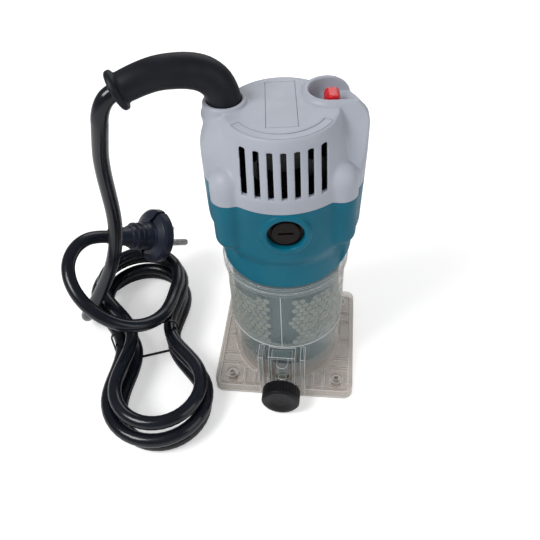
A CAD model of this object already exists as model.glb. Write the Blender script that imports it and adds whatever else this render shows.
"""Looks of the trim router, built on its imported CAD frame. Metres throughout."""
import math
import random

import bmesh
import bpy
import numpy as np
from mathutils import Matrix, Vector


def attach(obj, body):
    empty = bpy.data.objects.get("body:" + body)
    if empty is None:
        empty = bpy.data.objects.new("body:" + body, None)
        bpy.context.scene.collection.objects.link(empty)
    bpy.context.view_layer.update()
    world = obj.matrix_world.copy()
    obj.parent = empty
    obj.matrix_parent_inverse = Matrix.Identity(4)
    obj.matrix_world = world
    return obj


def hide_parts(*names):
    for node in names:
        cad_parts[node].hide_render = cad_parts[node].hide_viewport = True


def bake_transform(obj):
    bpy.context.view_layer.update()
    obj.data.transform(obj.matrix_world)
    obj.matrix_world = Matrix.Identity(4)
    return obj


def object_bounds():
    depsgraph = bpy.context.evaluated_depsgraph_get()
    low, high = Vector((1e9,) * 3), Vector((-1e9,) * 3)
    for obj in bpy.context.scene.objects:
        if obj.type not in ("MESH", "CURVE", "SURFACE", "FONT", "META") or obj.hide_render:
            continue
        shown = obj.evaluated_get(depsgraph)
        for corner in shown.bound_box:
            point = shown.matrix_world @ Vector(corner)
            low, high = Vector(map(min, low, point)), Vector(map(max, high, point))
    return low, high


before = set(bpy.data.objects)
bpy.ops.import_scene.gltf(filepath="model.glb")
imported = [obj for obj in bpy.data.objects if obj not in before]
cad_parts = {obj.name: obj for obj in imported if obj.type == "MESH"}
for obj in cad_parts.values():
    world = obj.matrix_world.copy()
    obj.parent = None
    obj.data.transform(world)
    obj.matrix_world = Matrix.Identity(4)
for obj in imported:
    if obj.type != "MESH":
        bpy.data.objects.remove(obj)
cad_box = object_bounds()
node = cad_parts

# ---- camera --------------------------------------------------------------------------
# The photograph's view: from the front, a little to the right and 45 degrees up,
# through a 41 mm lens. A small shift keeps the picture's framing.

AIM = Vector((-0.01559, 0, 0.07723))
AZ, EL, ROLL, REACH = math.radians(9.32), math.radians(45.41), math.radians(-4.08), 0.383

back = Vector((math.sin(AZ) * math.cos(EL), -math.cos(AZ) * math.cos(EL), math.sin(EL)))
level = Vector((0, 0, 1)).cross(back).normalized()
upright = back.cross(level)
right = math.cos(ROLL) * level + math.sin(ROLL) * upright
up = -math.sin(ROLL) * level + math.cos(ROLL) * upright
camera = bpy.data.objects.new("camera", bpy.data.cameras.new("camera"))
camera.matrix_world = Matrix((
    (right.x, up.x, back.x, AIM.x + back.x * REACH),
    (right.y, up.y, back.y, AIM.y + back.y * REACH),
    (right.z, up.z, back.z, AIM.z + back.z * REACH),
    (0, 0, 0, 1),
))
camera.data.lens = 41.06
camera.data.sensor_width = 36
camera.data.shift_x = 0.0170
camera.data.shift_y = -0.0104
camera.data.clip_start = 0.01
bpy.context.collection.objects.link(camera)
scene = bpy.context.scene
scene.camera = camera
scene.view_settings.view_transform = "Standard"

# ---- cord ----------------------------------------------------------------------------
# A two-core mains lead in a sheath of soft vinyl. It leaves the guard's mouth, comes
# down beside the base and lies folded in a hank; its tail loops up to the plug.

CORD = 0.0086
CORD_SIDES = 24


def shader(name, colour, rough, **sockets):
    """A new material with its principled shader's plain values set."""
    m = bpy.data.materials.new(name)
    m.use_nodes = True
    p = m.node_tree.nodes["Principled BSDF"]
    p.inputs["Base Color"].default_value = (*colour, 1)
    p.inputs["Roughness"].default_value = rough
    for key, value in sockets.items():
        p.inputs[key.replace("_", " ").title().replace("Ior", "IOR")].default_value = value
    return m


def wire(m, kind, **inputs):
    """A new node in a material; a tuple (node, output) is a link, anything else a value."""
    n = m.node_tree.nodes.new(kind)
    for key, value in inputs.items():
        key = key.replace("_", " ")
        if key in n.inputs:
            if isinstance(value, tuple) and isinstance(value[0], bpy.types.Node):
                m.node_tree.links.new(value[0].outputs[value[1]], n.inputs[key])
            else:
                n.inputs[key].default_value = value
        else:
            setattr(n, key.replace(" ", "_"), value)
    return n


def place(m, stretch=(1, 1, 1)):
    """The piece's own coordinates in metres, stretched along its axes."""
    co = wire(m, "ShaderNodeTexCoord")
    return wire(m, "ShaderNodeMapping", Vector=(co, "Object"), Scale=stretch)


def lay(m, source, output, socket):
    """Links an output to a socket of the material's principled shader."""
    p = m.node_tree.nodes["Principled BSDF"]
    m.node_tree.links.new(source.outputs[output], p.inputs[socket])


def ramp_of(m, source, output, *stops):
    """A colour ramp over a 0 to 1 value, from (position, colour) stops."""
    ramp = wire(m, "ShaderNodeValToRGB", Fac=(source, output))
    points = ramp.color_ramp.elements
    for i, (position, colour) in enumerate(stops):
        e = points[i] if i < 2 else points.new(position)
        e.position = position
        e.color = (*colour, 1)
    return ramp


def noise(m, size, detail, stretch):
    """A noise over the piece, with patches of so many metres."""
    return wire(m, "ShaderNodeTexNoise", Vector=(place(m, stretch), "Vector"), Scale=1 / size,
                Detail=detail)


def mottle(m, size, dark, light, stretch=(1, 1, 1)):
    """Soft variation of the base colour between two tones, size in metres."""
    c = m.node_tree.nodes["Principled BSDF"].inputs["Base Color"].default_value[:3]
    cloud = noise(m, size, 4.0, stretch)
    tones = ramp_of(m, cloud, "Fac", (0.3, [v * dark for v in c]), (0.7, [v * light for v in c]))
    lay(m, tones, "Color", "Base Color")
    return m


def rub(m, size, low, high, stretch=(1, 1, 1)):
    """Patchy roughness, as handled plastic has."""
    cloud = noise(m, size, 3.0, stretch)
    spread = wire(m, "ShaderNodeMapRange", Value=(cloud, "Fac"), From_Min=0.35, From_Max=0.65,
                  To_Min=low, To_Max=high)
    lay(m, spread, "Result", "Roughness")
    return m


def grain(m, size, height, stretch=(1, 1, 1), soft_edge=0):
    """Fine relief: the moulding's or machining's texture, over edges rounded by soft_edge."""
    speck = noise(m, size, 2.0, stretch)
    bump = wire(m, "ShaderNodeBump", Height=(speck, "Fac"), Strength=height, Distance=0.0002)
    if soft_edge:
        edge = wire(m, "ShaderNodeBevel", samples=4, Radius=soft_edge)
        m.node_tree.links.new(edge.outputs["Normal"], bump.inputs["Normal"])
    lay(m, bump, "Normal", "Normal")
    return m


def smoothed(points, steps):
    """A curve through the points, steps pieces between each two."""
    p = [Vector(q) for q in points]
    p = [2 * p[0] - p[1]] + p + [2 * p[-1] - p[-2]]
    out = []
    for a, b, c, d in zip(p, p[1:], p[2:], p[3:]):
        for i in range(steps):
            t = i / steps
            out.append(0.5 * (2 * b + (c - a) * t + (2 * a - 5 * b + 4 * c - d) * t * t
                              + (3 * b - a - 3 * c + d) * t ** 3))
    return out + [p[-2]]


def reach(line):
    """How far along the line each of its points is."""
    out = [0]
    for a, b in zip(line, line[1:]):
        out.append(out[-1] + (b - a).length)
    return out


def piece(name, bm, material, crease=40):
    """The bmesh as an object of the scene, smooth but for creases over so many degrees."""
    mesh = bpy.data.meshes.new(name)
    bmesh.ops.recalc_face_normals(bm, faces=bm.faces)
    bm.to_mesh(mesh)
    bm.free()
    mesh.materials.append(material)
    mesh.shade_smooth()
    mesh.set_sharp_from_angle(angle=math.radians(crease))
    obj = bpy.data.objects.new(name, mesh)
    bpy.context.collection.objects.link(obj)
    return obj


def swept(name, line, profile, sides, material):
    """A round body along a line, from (distance along it, radius) points that may turn back."""
    far = reach(line)
    last = len(line) - 1
    ahead = [(line[min(i + 1, last)] - line[max(i - 1, 0)]).normalized() for i in range(last + 1)]
    side = [ahead[0].orthogonal().normalized()]
    for t in ahead[1:]:
        side.append((side[-1] - side[-1].dot(t) * t).normalized())
    bm = bmesh.new()
    rings = []
    for s, r in profile:
        i = min(max(int(np.searchsorted(far, s)) - 1, 0), last - 1)
        f = (s - far[i]) / (far[i + 1] - far[i])
        t = ahead[i].lerp(ahead[i + 1], f).normalized()
        u = side[i].lerp(side[i + 1], f)
        u = (u - u.dot(t) * t).normalized()
        v = t.cross(u)
        p = line[i].lerp(line[i + 1], f)
        rings.append([bm.verts.new(p + r * (math.cos(a) * u + math.sin(a) * v))
                      for a in (2 * math.pi * k / sides for k in range(sides))])
    for r, s in zip(rings, rings[1:]):
        for k in range(sides):
            bm.faces.new((r[k], s[k], s[k - 1], r[k - 1]))
    bm.faces.new(rings[0])
    bm.faces.new(rings[-1])
    return piece(name, bm, material, 50)


vinyl = shader("cord_vinyl", (0.006, 0.007, 0.012), 0.2, specular_ior_level=0.4)
rub(grain(mottle(vinyl, 0.02, 0.7, 1.5), 0.0015, 0.08), 0.03, 0.13, 0.26)

LEAD = [
    (-0.0761, -0.0191, 0.2061), (-0.0789, -0.0203, 0.2043), (-0.0813, -0.0210, 0.2014),
    (-0.0832, -0.0212, 0.1978), (-0.0848, -0.0210, 0.1936), (-0.0861, -0.0201, 0.1890),
    (-0.0889, -0.0178, 0.1800), (-0.0927, -0.0144, 0.1670), (-0.0954, -0.0112, 0.1530),
    (-0.0971, -0.0086, 0.1380), (-0.0986, -0.0066, 0.1230), (-0.1008, -0.0054, 0.1080),
    (-0.1046, -0.0050, 0.0920), (-0.1102, -0.0050, 0.0766), (-0.1170, -0.0050, 0.0624),
    (-0.1242, -0.0050, 0.0494), (-0.1312, -0.0046, 0.0376), (-0.1375, -0.0036, 0.0275),
    (-0.1425, -0.0010, 0.0190), (-0.1456, 0.0038, 0.0125), (-0.1470, 0.0102, 0.0083),
    (-0.1472, 0.0178, 0.0061), (-0.1460, 0.0248, 0.0054), (-0.1439, 0.0305, 0.0053),
]
TAIL = [
    (-0.0810, -0.0010, 0.0331), (-0.0824, -0.0100, 0.0357), (-0.0860, -0.0190, 0.0391),
    (-0.0924, -0.0266, 0.0433), (-0.1010, -0.0314, 0.0486), (-0.1108, -0.0326, 0.0549),
    (-0.1204, -0.0304, 0.0616), (-0.1286, -0.0252, 0.0680), (-0.1344, -0.0180, 0.0734),
    (-0.1374, -0.0098, 0.0774), (-0.1374, -0.0018, 0.0800), (-0.1355, 0.0063, 0.0806),
    (-0.1320, 0.0138, 0.0792),
]

# The hank's sizes in millimetres: half the length of its runs, half the width at its
# ends and at its waist, how far in a turn may lie, and how high the layers are
RUN, FRONT, CREEP = 45, 48, 0.55
END, WAIST, INWARD = 33.5, 19, 8.4
LOWEST, LAYER = 5.3, 8.8
HANK_X, HANK_Y, TURN = -93, -18, math.radians(110.5)


def spiral_in(q):
    """How far in the turn lies at a quarter, from 0 to 1 and back."""
    return 1 - abs((((q - 3.5) / 4 + 1) % 2) - 1)


def eased(x):
    """0 up to 0, 1 from 1, and a soft rise between."""
    x = min(max(x, 0), 1)
    return x * x * (3 - 2 * x)


def hank_point(q):
    """The hank's line: each whole loop is four quarters, and it climbs on the left run."""
    b, w, front = END - INWARD * spiral_in(q), WAIST - INWARD * spiral_in(q), FRONT - CREEP * q
    m, s = int(q % 4), q % 1
    x = (RUN + b * math.sin(math.pi * s), RUN - (RUN + front) * s,
         -front - b * math.sin(math.pi * s), -front + (RUN + front) * s)[m]
    run = b - (b - w) * (1 + math.cos(math.pi * x / (RUN if x > 0 else front))) / 2
    y = (-b * math.cos(math.pi * s), run, b * math.cos(math.pi * s), -run)[m]
    z = LOWEST + LAYER * (eased((q - 2.5) / 2) + eased((q - 6.5) / 2) + eased((q - 10.5) / 2))
    return Vector((HANK_X + x * math.cos(TURN) + y * math.sin(TURN),
                   HANK_Y + x * math.sin(TURN) - y * math.cos(TURN), z)) / 1000


PLUG = Vector((-0.099, 0.047, 0.0534))
PLUG_AZ, PLUG_TILT = math.radians(224), math.radians(30)
plug_axis = Vector((math.cos(PLUG_AZ) * math.cos(PLUG_TILT),
                    math.sin(PLUG_AZ) * math.cos(PLUG_TILT), math.sin(PLUG_TILT)))
BOOT = 0.037
FIRST, QUARTERS, STEPS = 0.3, 12.9, 258
hank = [hank_point(FIRST + QUARTERS * i / STEPS) for i in range(STEPS + 1)]
hank_start = hank[0] - CORD * (hank[1] - hank[0]).normalized()
hank_end = hank[-1] + CORD * (hank[-1] - hank[-2]).normalized()
lead_line = smoothed(LEAD + [hank_start], 6)
boot_end = [PLUG + plug_axis * (BOOT + CORD), PLUG + plug_axis * BOOT]
tail_line = smoothed([hank_end] + TAIL + boot_end, 6)
rest_line = [hank_start] + hank + tail_line


def cord_along(name, line):
    """A stretch of the cord, as thick all along."""
    return swept(name, line, [(s, CORD / 2) for s in reach(line)], CORD_SIDES, vinyl)


lead = cord_along("cord_lead_piece", lead_line)
rest = cord_along("cord_hank_piece", rest_line)
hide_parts("cord_lead")
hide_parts("cord_hank", "cord_tail")
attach(rest, "base")
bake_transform(lead)

# ---- stage ---------------------------------------------------------------------------
# A pale paper floor that keeps the shadow and shows nearly white to the camera, and
# soft light from all round, brightest from the upper left.

floor_mesh = bmesh.new()
bmesh.ops.create_grid(floor_mesh, x_segments=1, y_segments=1, size=6)
paper = shader("floor_paper", (0.92, 0.92, 0.92), 0.9, emission_color=(1, 1, 1, 1))
seen = wire(paper, "ShaderNodeLightPath")
lay(paper, wire(paper, "ShaderNodeMapRange", Value=(seen, "Is Camera Ray"), To_Max=0.4), "Result",
    "Emission Strength")
floor = piece("floor", floor_mesh, paper)
floor.location.z = cad_box[0][2] - 0.0002
world = bpy.data.worlds.new("studio")
world.use_nodes = True
seen = wire(world, "ShaderNodeLightPath")
mirrored = wire(world, "ShaderNodeMapRange", Value=(seen, "Is Glossy Ray"), To_Min=0.44, To_Max=0.2)
bright = wire(world, "ShaderNodeMapRange", Value=(seen, "Is Camera Ray"),
              To_Min=(mirrored, "Result"), To_Max=1)
backdrop = world.node_tree.nodes["Background"]
backdrop.inputs["Color"].default_value = (1, 1, 1, 1)
world.node_tree.links.new(bright.outputs["Result"], backdrop.inputs["Strength"])
scene.world = world


def softbox(name, at, aim, size, power):
    """A rectangular area light that looks at a point."""
    light = bpy.data.lights.new(name, "AREA")
    light.shape = "RECTANGLE"
    light.size, light.size_y = size
    light.energy = power
    obj = bpy.data.objects.new(name, light)
    obj.location = at
    obj.rotation_euler = (Vector(aim) - Vector(at)).to_track_quat("-Z", "Y").to_euler()
    bpy.context.collection.objects.link(obj)


softbox("key", (-0.45, -0.35, 0.75), (0, 0, 0.1), (0.35, 0.35), 4.6)
softbox("fill", (0.75, -0.35, 0.45), (0, 0, 0.1), (0.5, 0.7), 1.5)
softbox("rim", (0.1, 0.8, 0.6), (0, 0, 0.12), (0.7, 0.3), 1.6)

# ---- base ----------------------------------------------------------------------------
# Tray foot and split sleeve, one clear polycarbonate moulding, slightly smoky.
# The sole is a sheet of the same stuff, held by four countersunk screws.

# Edges catch the light where a rounded normal leaves the plain one; the rest is thin and
# tinted by what it stands over: warm in the tray, cool round the barrel
clear = shader("clear_polycarbonate", (0.4, 0.4, 0.4), 0.12, ior=1.6)
rounded = wire(clear, "ShaderNodeBevel", samples=8, Radius=0.0008)
plain = wire(clear, "ShaderNodeNewGeometry")
bend = wire(clear, "ShaderNodeVectorMath", operation="DOT_PRODUCT")
for k, source in enumerate((rounded, plain)):
    clear.node_tree.links.new(source.outputs["Normal"], bend.inputs[k])
edge = wire(clear, "ShaderNodeMapRange", Value=(bend, "Value"), From_Min=0.99, From_Max=0.88)
height = wire(clear, "ShaderNodeSeparateXYZ", Vector=(place(clear, (1, 1, 10)), "Vector"))
facing = wire(clear, "ShaderNodeLayerWeight", Blend=0.4, Normal=(rounded, "Normal"))
tray = ramp_of(clear, facing, "Facing", (0.1, (0.50, 0.415, 0.35)), (0.8, (0.66, 0.58, 0.51)))
sleeve = ramp_of(clear, facing, "Facing", (0.1, (0.20, 0.28, 0.31)), (0.5, (0.30, 0.35, 0.35)),
                 (0.85, (0.52, 0.46, 0.40)))
above = wire(clear, "ShaderNodeMapRange", Value=(height, "Z"), From_Min=0.09, From_Max=0.2)
tint = wire(clear, "ShaderNodeMixRGB", Fac=(above, "Result"), Color1=(tray, "Color"),
            Color2=(sleeve, "Color"))
lit = wire(clear, "ShaderNodeMixRGB", Fac=(edge, "Result"), Color1=(tint, "Color"),
           Color2=(0.9, 0.9, 0.88, 1))
lay(clear, lit, "Color", "Base Color")
thin = wire(clear, "ShaderNodeMapRange", Value=(above, "Result"), To_Min=0.26, To_Max=0.16)
body = wire(clear, "ShaderNodeMapRange", Value=(facing, "Facing"), From_Min=0.15, From_Max=0.95,
            To_Min=(thin, "Result"), To_Max=0.75)
cover = wire(clear, "ShaderNodeMapRange", Value=(edge, "Result"), To_Min=(body, "Result"),
             To_Max=0.85)
lay(clear, cover, "Result", "Alpha")
lay(clear, rounded, "Normal", "Normal")
rub(clear, 0.02, 0.05, 0.16)

frosted = shader("frosted_polycarbonate", (0.44, 0.47, 0.43), 0.5, alpha=0.42)
rub(mottle(frosted, 0.004, 0.85, 1.15), 0.002, 0.4, 0.65)

SLEEVE = 0.0358


def sleeve_point(around, z, out=0.0):
    """A point on the sleeve: around is the arc from its front line, out how far it stands off."""
    a = around / SLEEVE
    r = SLEEVE + out
    return Vector((r * math.sin(a), -r * math.cos(a), z))


# Frosted six-sided pads that roughen the grip, in two patches with ragged edges: each
# row starts a little way from the front line and ends well before the slit
chance = random.Random(4)
hexes = bmesh.new()
PITCH = 0.0042
ROWS, COLUMNS, FIRST_ROW = 11, 13, 0.0462
for row in range(ROWS):
    z = FIRST_ROW + row * PITCH * 0.866
    for col in range(-COLUMNS, COLUMNS + 1):
        s = (col + 0.5 * (row % 2)) * PITCH
        near = 0.0056 + 0.0030 * chance.random()
        end = 0.049 - 0.006 * chance.random()
        if not near < abs(s) < end or (row == ROWS - 1 and chance.random() < 0.4):
            continue
        across = PITCH / math.sqrt(3) * 0.88
        tiers = []
        for size, out in ((across, -0.0001), (across, 0.00006), (across * 0.9, 0.00014)):
            corners = [(s + size * math.sin(k * math.pi / 3), z + size * math.cos(k * math.pi / 3))
                       for k in range(6)]
            tiers.append([hexes.verts.new(sleeve_point(*corner, out)) for corner in corners])
        for a, b in zip(tiers, tiers[1:]):
            for k in range(6):
                hexes.faces.new((a[k - 1], a[k], b[k], b[k - 1]))
        hexes.faces.new(tiers[0])
        hexes.faces.new(tiers[-1])
grip = piece("grip_pads", hexes, frosted, 10)


def ridge(bm, line, half, out):
    """A fine raised line on the sleeve, from (arc, height) points, half as wide as stated."""
    rows = []
    for i, (x, z) in enumerate(line):
        dx, dz = (line[min(i + 1, len(line) - 1)][k] - line[max(i - 1, 0)][k] for k in (0, 1))
        n = math.hypot(dx, dz)
        rows.append([bm.verts.new(sleeve_point(x + w * dz / n, z - w * dx / n, o)) for w, o in
                     ((-half, -0.0001), (-half * 0.6, out), (half * 0.6, out), (half, -0.0001))])
    for a, b in zip(rows, rows[1:]):
        for k in range(4):
            bm.faces.new((a[k - 1], a[k], b[k], b[k - 1]))
    bm.faces.new(rows[0])
    bm.faces.new(rows[-1])


# The mould leaves a flash line down the front, and a bead round the sleeve under the pads
flash = bmesh.new()
ridge(flash, [(0, z / 1000) for z in range(42, 88, 5)], 0.00025, 0.0002)
ridge(flash, [(SLEEVE * math.radians(a), 0.0415) for a in range(-148, 149, 4)], 0.0004, 0.0003)
flash_look = shader("flash_line", (0.85, 0.86, 0.85), 0.35, alpha=0.7)
mottle(flash_look, 0.003, 0.85, 1.0)
seam = piece("sleeve_flash_lines", flash, flash_look)
for p in (grip, seam):
    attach(p, "base")

finishes = {"base_body": clear, "sole_plate": clear}

# ---- guide screw, depth clamp and sole screws ----------------------------------------
# Steel stud with a knurled black nylon knob in a captive brass nut; a steel bolt,
# washer and wing nut that close the sleeve; four steel screws in the sole.

steel = shader("steel", (0.50, 0.50, 0.51), 0.3, metallic=1.0)
grain(rub(steel, 0.004, 0.2, 0.42, (1, 1, 6)), 0.0006, 0.15, (1, 1, 8), 0.0002)
brass = rub(shader("brass", (0.6, 0.45, 0.2), 0.35, metallic=1.0), 0.003, 0.25, 0.45)
black = shader("black_nylon", (0.008, 0.008, 0.01), 0.42, specular_ior_level=0.3)
grain(mottle(black, 0.01, 0.7, 1.5), 0.0006, 0.2, soft_edge=0.0004)
finishes |= {"sole_screws": steel, "guide_stud": steel, "guide_nut": brass, "guide_knob": black,
             "clamp_bolt": steel, "clamp_washer": steel, "clamp_nut": steel}

# ---- motor housing, barrel and cap ---------------------------------------------------
# Teal head and blue-grey cap are glass-filled nylon mouldings with a satin grain,
# screwed together at the lobes; a turned aluminium barrel runs down the sleeve.

TURNED = math.radians(6.7)
SPLIT, GAP = 0.152, 0.00006
BRUSH_Z = 0.1385
LOBE_X, LOBE_Y = 0.0286, 0.0226


def block(low, high):
    """A square block between two corners, as a tool for a cut or an infill."""
    bm = bmesh.new()
    bmesh.ops.create_cube(bm, size=1)
    for v in bm.verts:
        v.co = Vector(low) + (v.co + Vector((0.5, 0.5, 0.5))) * (Vector(high) - Vector(low))
    return bm


def turned_block(low, high):
    """A block that stands square to the motor unit."""
    bm = block(low, high)
    bmesh.ops.rotate(bm, verts=bm.verts, matrix=Matrix.Rotation(TURNED, 3, "Z"))
    return bm


def add(bm, other):
    """Adds another bmesh's faces to this one."""
    mesh = bpy.data.meshes.new("part")
    other.to_mesh(mesh)
    other.free()
    bm.from_mesh(mesh)
    bpy.data.meshes.remove(mesh)


def skin(name, sources, voxel, *infill):
    """One closed skin over the sources' solids and the infill, made of small quads."""
    bm = bmesh.new()
    for source in sources:
        bm.from_mesh(node[source].data)
    for part in infill:
        add(bm, part)
    mesh = bpy.data.meshes.new(name)
    bm.to_mesh(mesh)
    bm.free()
    obj = bpy.data.objects.new(name, mesh)
    bpy.context.collection.objects.link(obj)
    made = obj.modifiers.new("skin", "REMESH")
    made.mode = "VOXEL"
    made.voxel_size = voxel
    return settled(obj)


def settled(obj):
    """Applies the object's modifiers."""
    bpy.context.view_layer.update()
    mesh = bpy.data.meshes.new_from_object(obj.evaluated_get(bpy.context.evaluated_depsgraph_get()))
    obj.modifiers.clear()
    old, obj.data = obj.data, mesh
    bpy.data.meshes.remove(old)
    return obj


def relax(obj, passes, share):
    """Rounds the skin: every point moves towards its neighbours by its share, so many times."""
    mesh = obj.data
    at = np.empty(len(mesh.vertices) * 3)
    mesh.vertices.foreach_get("co", at)
    at = at.reshape(-1, 3)
    pairs = np.empty(len(mesh.edges) * 2, dtype=np.int64)
    mesh.edges.foreach_get("vertices", pairs)
    a, b = np.r_[pairs[::2], pairs[1::2]], np.r_[pairs[1::2], pairs[::2]]
    step = 0.5 * np.clip(share(at), 0, 1)
    live = np.flatnonzero(step > 0.001)
    order = np.zeros(len(at), dtype=np.int64)
    order[live] = np.arange(len(live))
    kept = step[a] > 0.001
    a, b, step = order[a[kept]], b[kept], step[live]
    count = np.bincount(a)
    for _ in range(passes):
        near = at[b]
        for k in range(3):
            at[live, k] += step * (np.bincount(a, weights=near[:, k]) / count - at[live, k])
    mesh.vertices.foreach_set("co", at.ravel())
    mesh.update()


def thinned(obj, faces):
    """Fewer, larger faces where the skin is plain."""
    made = obj.modifiers.new("thin", "DECIMATE")
    made.ratio = faces / (2 * len(obj.data.polygons))
    return settled(obj)


def cut(obj, tool_bm, how="DIFFERENCE"):
    """Cuts the tool's shape out of the object, or keeps only what is inside it."""
    mesh = bpy.data.meshes.new("tool")
    bmesh.ops.recalc_face_normals(tool_bm, faces=tool_bm.faces)
    tool_bm.to_mesh(mesh)
    tool_bm.free()
    tool = bpy.data.objects.new("tool", mesh)
    bpy.context.collection.objects.link(tool)
    made = obj.modifiers.new("cut", "BOOLEAN")
    made.operation = how
    made.solver = "MANIFOLD"
    made.object = tool
    settled(obj)
    bpy.data.objects.remove(tool)
    bpy.data.meshes.remove(mesh)
    return obj


def ramp_up(v, low, high):
    """0 below low, 1 above high."""
    return np.clip((v - low) / (high - low), 0, 1)


# The head's outer profile: heights, and the radius at each
HEAD = ([0.096, 0.114, 0.118, 0.152, 0.162, 0.168, 0.175, 0.1816, 0.1874, 0.19],
        [0.0363, 0.0363, 0.0388, 0.0388, 0.0383, 0.0366, 0.0339, 0.0315, 0.0298, 0.0275])


def softness(at):
    """How much each place of the head is rounded: fully at the screw lobes and the cord's."""
    x = at[:, 0] * math.cos(TURNED) + at[:, 1] * math.sin(TURNED)
    y = -at[:, 0] * math.sin(TURNED) + at[:, 1] * math.cos(TURNED)
    z = at[:, 2]
    r = np.hypot(x, y)
    outside = ramp_up(r - np.interp(z, *HEAD), -0.0014, -0.0006)
    lobe = 1 - ramp_up(np.hypot(np.abs(x) - LOBE_X, np.abs(y) - LOBE_Y), 0.0115, 0.0155)
    lobe = lobe * ramp_up(z, 0.103, 0.108) * (1 - ramp_up(z, 0.174, 0.182))
    left = ramp_up(-x, 0.018, 0.026) * (1 - ramp_up(z, 0.178, 0.186))
    strong = outside * np.maximum(lobe, left)
    vents = 1 - ramp_up(np.abs(x), 0.0215, 0.0235)
    vents = vents * ramp_up(np.abs(y), 0.02, 0.022) * ramp_up(z, 0.156, 0.159)
    ring = 1 - ramp_up(np.hypot(x, z - BRUSH_Z), 0.0142, 0.0158)
    ring = ring * ramp_up(np.abs(y), 0.024, 0.026)
    keep = np.maximum(vents, ring)
    shoulder = 0.12 * ramp_up(x, 0.01, 0.02) * ramp_up(z, 0.17, 0.178)
    return np.maximum(0.035 + shoulder, strong * (1 - keep))


def neck(at):
    """The housing's neck, where the head swells out over the sleeve."""
    r, z = np.hypot(at[:, 0], at[:, 1]), at[:, 2]
    up_to_head = ramp_up(z, 0.1075, 0.1110) * (1 - ramp_up(z, 0.1195, 0.1235))
    return ramp_up(r, 0.0340, 0.0352) * up_to_head


# Two small blocks keep the pocket's floor and wall whole behind the lever
head = skin("head_skin", ["motor_housing", "top_cap"], 0.00048,
            turned_block((0.0179, 0.0186, 0.1798), (0.0211, 0.0242, 0.1820)),
            turned_block((0.0179, 0.0216, 0.1798), (0.0211, 0.0243, 0.1832)))
relax(head, 38, softness)
relax(head, 120, neck)
cap = bpy.data.objects.new("cap_moulding", head.data.copy())
bpy.context.collection.objects.link(cap)
FACES, WIDE = 150000, 0.1
for obj, low, high in ((head, 0.05, SPLIT - GAP), (cap, SPLIT + GAP, 0.25)):
    thinned(obj, FACES)
    cut(obj, block((-WIDE, -WIDE, low), (WIDE, WIDE, high)), "INTERSECT")
head.name = "housing_moulding"


def frame_cutter(outer, inner, low, high):
    """A thin closed wall between two outlines, for a groove."""
    bm = bmesh.new()
    rows = []
    c, s = math.cos(TURNED), math.sin(TURNED)
    for outline, z in ((outer, low), (outer, high), (inner, high), (inner, low)):
        rows.append([bm.verts.new((x * c - y * s, x * s + y * c, z)) for x, y in outline])
    for a, b in zip(rows, rows[1:] + rows[:1]):
        for k in range(len(outer)):
            bm.faces.new((a[k - 1], a[k], b[k], b[k - 1]))
    return bm


def box_outline(x0, y0, x1, y1):
    """A rectangle's corners."""
    return [(x0, y0), (x1, y0), (x1, y1), (x0, y1)]


# Crisp edges for the vent slots, front and rear
slots = bmesh.new()
SLOT_PITCH, SLOT_HALF, SLOT_FOOT, SLOT_TOP = 0.00648, 0.00142, 0.16058, 0.18262
for side in (-1, 1):
    for i in range(7):
        x = (i - 3) * SLOT_PITCH
        y = sorted((side * 0.042, side * (0.0247 if x * side > 0.015 else 0.019)))
        add(slots, turned_block((x - SLOT_HALF, y[0], SLOT_FOOT), (x + SLOT_HALF, y[1], SLOT_TOP)))
cut(cap, slots)

# Two plain fields on the cap's flat top have fine sunk outlines
cut(cap, frame_cutter(box_outline(-0.00785, -0.01885, 0.00785, 0.02375),
                      box_outline(-0.00755, -0.01855, 0.00755, 0.02345), 0.1885, 0.1895))
ends = [math.radians(a) for a in range(-150, -29, 5)]


def bow(low, high, spare):
    """A bow between two radii, its ends moved out by a spare width."""
    there = (ends[0] - spare / low, *ends[1:-1], ends[-1] + spare / low)
    and_back = (ends[-1] + spare / high, *ends[-2:0:-1], ends[0] - spare / high)
    return ([(low * math.cos(a), low * math.sin(a)) for a in there]
            + [(high * math.cos(a), high * math.sin(a)) for a in and_back])


cut(cap, frame_cutter(bow(0.0237, 0.0282, 0.00015), bow(0.0240, 0.0279, -0.00015), 0.1882, 0.1895))

teal = shader("teal_nylon", (0.001, 0.122, 0.190), 0.36, specular_ior_level=0.2)
grain(rub(mottle(teal, 0.03, 0.9, 1.1), 0.01, 0.33, 0.46), 0.0006, 0.25)
grey = shader("grey_nylon", (0.39, 0.415, 0.475), 0.42, specular_ior_level=0.3)
grain(rub(mottle(grey, 0.03, 0.94, 1.05), 0.01, 0.36, 0.48), 0.0006, 0.25)
for obj, source, finish, slot in ((head, "motor_housing", teal, "teal_plastic"),
                                  (cap, "top_cap", grey, "grey_plastic")):
    obj.data.materials.clear()
    obj.data.materials.append(finish)
    obj.data.shade_smooth()
    obj.data.set_sharp_from_angle(angle=math.radians(50))
    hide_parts(source)
    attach(obj, "motor_unit")

aluminium = shader("aluminium", (0.13, 0.18, 0.195), 0.45, metallic=0.4)
rub(mottle(aluminium, 0.02, 0.85, 1.15, (1, 1, 0.3)), 0.01, 0.38, 0.55)
grain(aluminium, 0.0006, 0.3, (1, 1, 0.1))
finishes |= {"motor_barrel": aluminium, "motor_housing": teal, "top_cap": grey, "cap_screws": steel}

# ---- brushes -------------------------------------------------------------------------
# Brown-black thermoset caps with a coin slot screw into holders at the head's front
# and rear. Under each, a steel spring presses a graphite brush on the commutator.

thermoset = shader("brush_cap_thermoset", (0.008, 0.005, 0.0045), 0.36, specular_ior_level=0.15)
rub(mottle(thermoset, 0.004, 0.7, 1.6), 0.004, 0.25, 0.42)
carbon = mottle(shader("graphite", (0.02, 0.02, 0.021), 0.5), 0.001, 0.6, 1.5)
finishes |= {"brush_cap_front": thermoset, "brush_cap_rear": thermoset, "brush_holders": thermoset,
             "carbon_brushes": carbon, "brush_springs": steel}

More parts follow.
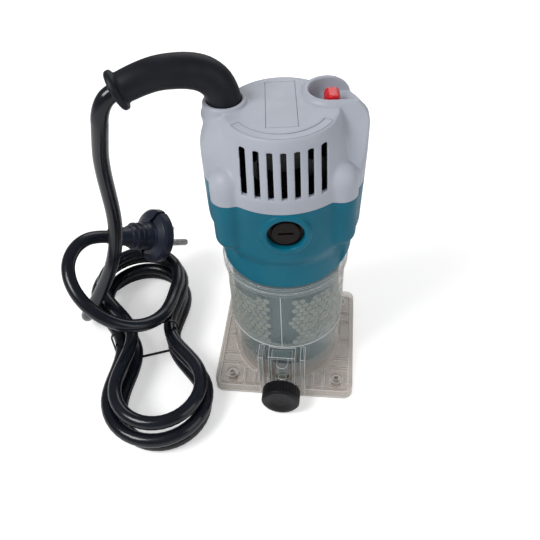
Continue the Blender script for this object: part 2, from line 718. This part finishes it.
# ---- stator, rotor and bearings ------------------------------------------------------
# Stacked steel laminations wound with enamelled copper, round a turned steel shaft in
# two bearings. Fan and baffle are nylon; collet and nut grip the cutter at the foot.

laminated = shader("laminated_steel", (0.3, 0.31, 0.32), 0.45, metallic=1.0)
grain(rub(laminated, 0.003, 0.35, 0.55), 0.0006, 0.6, (0.05, 0.05, 1))
copper = shader("enamelled_copper", (0.5, 0.2, 0.08), 0.35, metallic=0.8)
grain(mottle(copper, 0.003, 0.6, 1.3), 0.0005, 0.8, (0.1, 0.1, 1))
finishes |= {"stator_core": laminated, "field_coils": copper, "air_baffle": black,
             "bearing_bridge": black, "upper_bearing": steel, "lower_bearing": steel,
             "rotor_shaft": steel, "armature_core": laminated, "armature_winding": copper,
             "commutator": copper, "cooling_fan": black, "collet": steel, "collet_nut": steel}

# ---- switch --------------------------------------------------------------------------
# A red nylon lever with a round finger pad slides in the cap's pocket, and moves the
# black slide switch that is fixed under the cap.

red = shader("lever_red", (0.60, 0.008, 0.014), 0.32)
rub(mottle(red, 0.006, 0.85, 1.1), 0.006, 0.22, 0.38)
lever = skin("lever_moulding", ["switch_lever"], 0.00025)
relax(lever, 24, lambda at: np.full(len(at), 0.9))
thinned(lever, 9000)
lever.data.materials.clear()
lever.data.materials.append(red)
lever.data.shade_smooth()
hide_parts("switch_lever")
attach(lever, "switch")
finishes |= {"switch_body": black, "switch_lever": red}

# ---- cord guard ----------------------------------------------------------------------
# One matte rubber moulding: it is held in the cap's collar by its foot flange,
# tapers over its bend and ends in a thin round flange with a wide mouth.

rubber = shader("guard_rubber", (0.007, 0.008, 0.012), 0.5, specular_ior_level=0.25)
grain(mottle(rubber, 0.01, 0.8, 1.4), 0.0005, 0.25)
COLLAR = (-0.02851, 0.00269)
GUARD = [
    (*COLLAR, 0.1700), (*COLLAR, 0.1770), (*COLLAR, 0.1840),
    (-0.0286, 0.00270, 0.1905), (-0.0298, 0.0026, 0.1962), (-0.0324, 0.0021, 0.2012),
    (-0.0371, 0.0010, 0.2053), (-0.0435, -0.0015, 0.2081), (-0.0505, -0.0052, 0.2098),
    (-0.0570, -0.0090, 0.2106), (-0.0632, -0.0128, 0.2101), (-0.0690, -0.0162, 0.2088),
    (-0.0722, -0.0177, 0.2077), (-0.0753, -0.01885, 0.20645),
]
guard_line = smoothed(GUARD, 8)
whole = reach(guard_line)[-1]
# The outside from the foot flange to the lip, then over the lip and back down the mouth
outer = [(0, 0.0103), (0.002, 0.0103), (0.0023, 0.0087)]
outer += [(0.004 + s, 0.0087 - 0.0012 * eased((s - 0.03) / 0.05))
          for s in (0.002 * i for i in range(44))]
outer = [(s, r) for s, r in outer if s < whole - 0.0056]
lip = [(0.0054, 0.0075), (0.0044, 0.0076), (0.0038, 0.0079), (0.0034, 0.0085), (0.0031, 0.0093),
       (0.0027, 0.0097), (0.0022, 0.0099), (0.0011, 0.0099), (0.0006, 0.0097), (0.0002, 0.0092),
       (0, 0.0086), (0, 0.0060), (0.0002, 0.0056), (0.0008, 0.0053), (0.0016, 0.0052),
       (0.006, 0.0052), (0.012, 0.0052), (0.018, 0.0050)]
lip = [(whole - s, r) for s, r in lip]
guard = swept("guard_moulding", guard_line, outer + lip, 40, rubber)
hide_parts("cord_guard")
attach(guard, "motor_unit")
inlet_line = smoothed([(*COLLAR, 0.156)] + GUARD[:-1] + [LEAD[0]], 6)
inlet = cord_along("cord_inlet_piece", inlet_line)
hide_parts("cord_entry")
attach(inlet, "motor_unit")
finishes |= {"cord_guard": rubber, "cord_entry": vinyl, "cord_clamp": black,
             "cord_clamp_screws": steel}

# ---- plug and tie --------------------------------------------------------------------
# Dark blue-black vinyl, moulded round two steel pins on the cord's end, makes the
# plug. A thin coated wire is wound round the hank's waist and holds it.

plug_vinyl = shader("plug_vinyl", (0.010, 0.014, 0.028), 0.34, specular_ior_level=0.4)
grain(mottle(plug_vinyl, 0.012, 0.75, 1.5), 0.0008, 0.15, soft_edge=0.0006)
wrap = shader("tie_vinyl", (0.01, 0.01, 0.012), 0.35)
grain(wrap, 0.0008, 0.3)
finishes |= {"cord_tie": wrap, "plug_body": plug_vinyl, "plug_pins": steel}

# Every solid of the frame takes the finish of its section
for name, finish in finishes.items():
    for s in node[name].material_slots:
        s.material = finish
